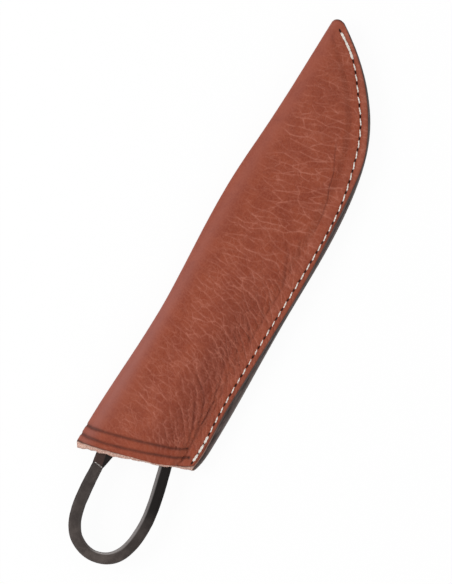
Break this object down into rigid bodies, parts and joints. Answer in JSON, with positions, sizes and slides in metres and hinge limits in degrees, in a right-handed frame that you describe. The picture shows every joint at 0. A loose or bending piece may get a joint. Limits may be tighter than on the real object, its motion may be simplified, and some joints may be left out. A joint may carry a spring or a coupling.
{
  "type": "sheathed knife",
  "caption": "Straight-backed forged knife with a bent-bar loop handle, drawn from a folded and welted leather sheath with a belt strap on its back.",
  "frame": {"origin": "centre of the belt strap's flat outer face, which is the face the part lies on", "axes": "+X along the sheath from its mouth to its tip, +Y towards the fold that covers the knife's back, +Z out through the front leaf"},
  "size_m": [0.3322, 0.0695, 0.0179],
  "materials": {
    "forged_iron": "fire-blackened, waxed, semi-matte",
    "sheath_leather": "red-brown pebbled grain, waxed",
    "welt_leather": "dark burnished edge",
    "strap_leather": "red-brown pebbled grain, waxed",
    "seam_thread": "waxed linen, off-white",
    "strap_thread": "waxed linen, off-white"
  },
  "bodies": {
    "sheath": {"sheath_body": "sheath_leather", "welt": "welt_leather", "belt_strap": "strap_leather", "seam_thread_front": "seam_thread", "seam_thread_back": "seam_thread", "strap_thread_inner": "strap_thread", "strap_thread_outer": "strap_thread"},
    "knife": {"knife": "forged_iron"}
  },
  "joints": [
    {"name": "knife_draw", "type": "slide", "parent": "sheath", "child": "knife", "axis": [-1, 0, 0], "range_m": [0, 0.25]}
  ]
}
